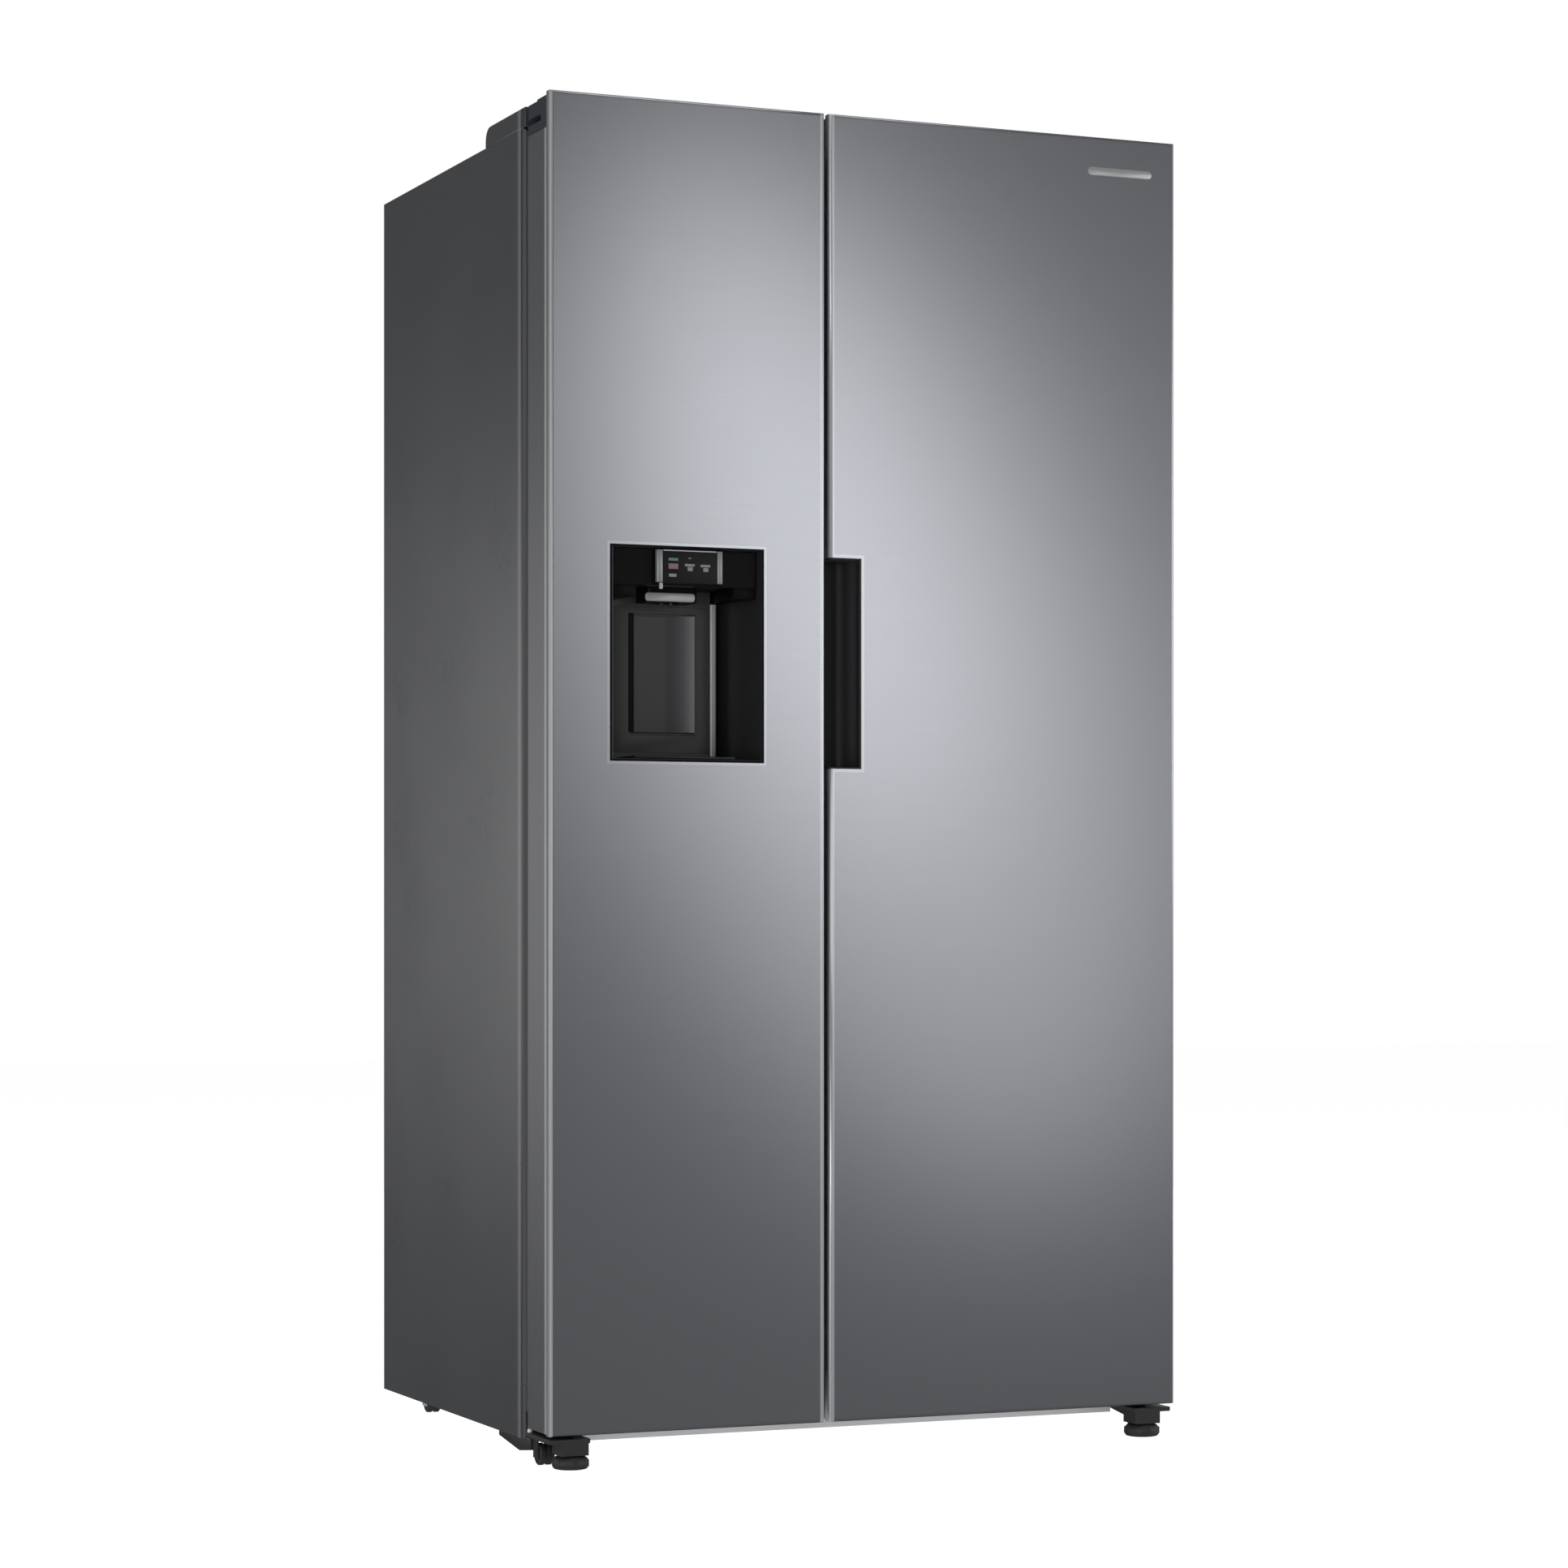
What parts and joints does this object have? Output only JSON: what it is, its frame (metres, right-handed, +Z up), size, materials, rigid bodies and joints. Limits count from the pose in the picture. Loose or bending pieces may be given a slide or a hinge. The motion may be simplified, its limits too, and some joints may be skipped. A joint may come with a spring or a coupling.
{
  "type": "side-by-side refrigerator",
  "caption": "Tall two-door cabinet: a freezer beside a wider fridge, an ice and water dispenser in the freezer door, a recessed handle, and feet and rollers below.",
  "frame": {"origin": "on the floor, at the middle of the bounding box's width and depth", "axes": "+Z up, -Y out of the doors' front, +X towards the fridge door's hinge side"},
  "size_m": [0.912, 0.716, 1.78],
  "materials": {
    "door_steel": "fine brushed, satin",
    "cabinet_paint": "dark grey, fine texture",
    "door_side": "dark grey, satin",
    "black_gloss": "high gloss",
    "black_plastic": "satin",
    "grey_paddle": "satin gloss",
    "white_plastic": "smooth",
    "clear_plastic": "clear, polished",
    "shelf_glass": "polished, toughened",
    "rubber": "matte",
    "foam": "closed-cell foam",
    "galvanised": "galvanised",
    "sill_paint": "light grey",
    "copper": "drawn tube",
    "compressor_black": "gloss black",
    "aluminium": "drawn"
  },
  "bodies": {
    "cabinet": {"cabinet_wrapper": "cabinet_paint", "cabinet_base_pan": "galvanised", "cabinet_back_panel": "galvanised", "machine_cover": "galvanised", "mains_inlet": "black_plastic", "water_inlet": "white_plastic", "centre_mullion_cover": "cabinet_paint", "front_sill_rail": "sill_paint", "insulation_foam": "foam", "freezer_liner": "white_plastic", "fridge_liner": "white_plastic", "upper_hinge_left": "galvanised", "upper_hinge_right": "galvanised", "hinge_cover_left": "cabinet_paint", "hinge_cover_right": "cabinet_paint", "lower_hinge_left": "black_plastic", "lower_hinge_right": "black_plastic", "freezer_duct_cover": "white_plastic", "evaporator_coil": "aluminium", "freezer_shelf_upper": "shelf_glass", "freezer_shelf_lower": "shelf_glass", "ice_maker": "white_plastic", "fridge_shelf_upper": "shelf_glass", "fridge_shelf_middle": "shelf_glass", "fridge_shelf_lower": "shelf_glass", "compressor": "compressor_black", "condenser_coil": "copper"},
    "freezer_door": {"freezer_door_skin": "door_steel", "freezer_door_frame": "door_side", "freezer_door_foam": "foam", "freezer_door_liner": "white_plastic", "freezer_door_gasket": "rubber", "freezer_door_bin_upper": "clear_plastic", "freezer_door_bin_lower": "clear_plastic", "dispenser_housing": "black_gloss", "dispenser_head": "black_gloss", "control_panel": "black_plastic"},
    "fridge_door": {"fridge_door_skin": "door_steel", "fridge_door_frame": "door_side", "fridge_door_foam": "foam", "fridge_door_liner": "white_plastic", "fridge_door_gasket": "rubber", "fridge_door_bin_upper": "clear_plastic", "fridge_door_bin_middle": "clear_plastic", "fridge_door_bin_lower": "clear_plastic", "handle_pocket": "black_plastic"},
    "front_roller_left": {"front_roller_left": "black_plastic"},
    "front_roller_right": {"front_roller_right": "black_plastic"},
    "rear_roller_left": {"rear_roller_left": "black_plastic"},
    "rear_roller_right": {"rear_roller_right": "black_plastic"},
    "levelling_foot_left": {"levelling_foot_left": "black_plastic"},
    "levelling_foot_right": {"levelling_foot_right": "black_plastic"},
    "condenser_fan": {"condenser_fan": "black_plastic"},
    "freezer_drawer_upper": {"freezer_drawer_upper": "clear_plastic"},
    "freezer_drawer_lower": {"freezer_drawer_lower": "clear_plastic"},
    "ice_bucket": {"ice_bucket": "clear_plastic"},
    "ice_auger": {"ice_auger": "aluminium"},
    "crisper_upper": {"crisper_upper": "clear_plastic"},
    "crisper_lower": {"crisper_lower": "clear_plastic"},
    "dispenser_paddle": {"dispenser_paddle": "grey_paddle"}
  },
  "joints": [
    {"name": "freezer_door_hinge", "type": "hinge", "parent": "cabinet", "child": "freezer_door", "pos_m": [-0.434, -0.3, 0.9], "axis": [0, 0, -1], "range_deg": [0, 125]},
    {"name": "fridge_door_hinge", "type": "hinge", "parent": "cabinet", "child": "fridge_door", "pos_m": [0.434, -0.3, 0.9], "axis": [0, 0, 1], "range_deg": [0, 125]},
    {"name": "freezer_drawer_upper_slide", "type": "slide", "parent": "cabinet", "child": "freezer_drawer_upper", "axis": [0, -1, 0], "range_m": [0, 0.125]},
    {"name": "freezer_drawer_lower_slide", "type": "slide", "parent": "cabinet", "child": "freezer_drawer_lower", "axis": [0, -1, 0], "range_m": [0, 0.11]},
    {"name": "ice_bucket_slide", "type": "slide", "parent": "cabinet", "child": "ice_bucket", "axis": [0, -1, 0], "range_m": [0, 0.1]},
    {"name": "crisper_upper_slide", "type": "slide", "parent": "cabinet", "child": "crisper_upper", "axis": [0, -1, 0], "range_m": [0, 0.125]},
    {"name": "crisper_lower_slide", "type": "slide", "parent": "cabinet", "child": "crisper_lower", "axis": [0, -1, 0], "range_m": [0, 0.11]},
    {"name": "dispenser_paddle_swing", "type": "hinge", "parent": "freezer_door", "child": "dispenser_paddle", "pos_m": [-0.265, -0.262, 1.108], "axis": [1, 0, 0], "range_deg": [0, 4], "stiffness_Nm_per_rad": 1.2},
    {"name": "ice_auger_spin", "type": "hinge", "parent": "ice_bucket", "child": "ice_auger", "pos_m": [-0.25, 0, 1.44], "axis": [0, 1, 0], "continuous": true},
    {"name": "condenser_fan_spin", "type": "hinge", "parent": "cabinet", "child": "condenser_fan", "pos_m": [-0.02, 0.245, 0.14], "axis": [1, 0, 0], "continuous": true},
    {"name": "front_roller_left_spin", "type": "hinge", "parent": "cabinet", "child": "front_roller_left", "pos_m": [-0.4385, -0.285, 0.0145], "axis": [1, 0, 0], "continuous": true},
    {"name": "front_roller_right_spin", "type": "hinge", "parent": "cabinet", "child": "front_roller_right", "pos_m": [0.4385, -0.285, 0.0145], "axis": [1, 0, 0], "continuous": true},
    {"name": "rear_roller_left_spin", "type": "hinge", "parent": "cabinet", "child": "rear_roller_left", "pos_m": [-0.4, 0.3, 0.0145], "axis": [1, 0, 0], "continuous": true},
    {"name": "rear_roller_right_spin", "type": "hinge", "parent": "cabinet", "child": "rear_roller_right", "pos_m": [0.4, 0.3, 0.0145], "axis": [1, 0, 0], "continuous": true},
    {"name": "levelling_foot_left_turn", "type": "hinge", "parent": "cabinet", "child": "levelling_foot_left", "pos_m": [-0.419, -0.332, 0], "axis": [0, 0, 1], "continuous": true},
    {"name": "levelling_foot_right_turn", "type": "hinge", "parent": "cabinet", "child": "levelling_foot_right", "pos_m": [0.419, -0.332, 0], "axis": [0, 0, 1], "continuous": true}
  ],
  "couplings": [
    {"joint": "freezer_drawer_upper_slide", "follows": "freezer_door_hinge", "m_per_rad": 0.0572},
    {"joint": "freezer_drawer_lower_slide", "follows": "freezer_door_hinge", "m_per_rad": 0.0504},
    {"joint": "ice_bucket_slide", "follows": "freezer_door_hinge", "m_per_rad": 0.0458},
    {"joint": "crisper_upper_slide", "follows": "fridge_door_hinge", "m_per_rad": 0.0572},
    {"joint": "crisper_lower_slide", "follows": "fridge_door_hinge", "m_per_rad": 0.0504}
  ]
}
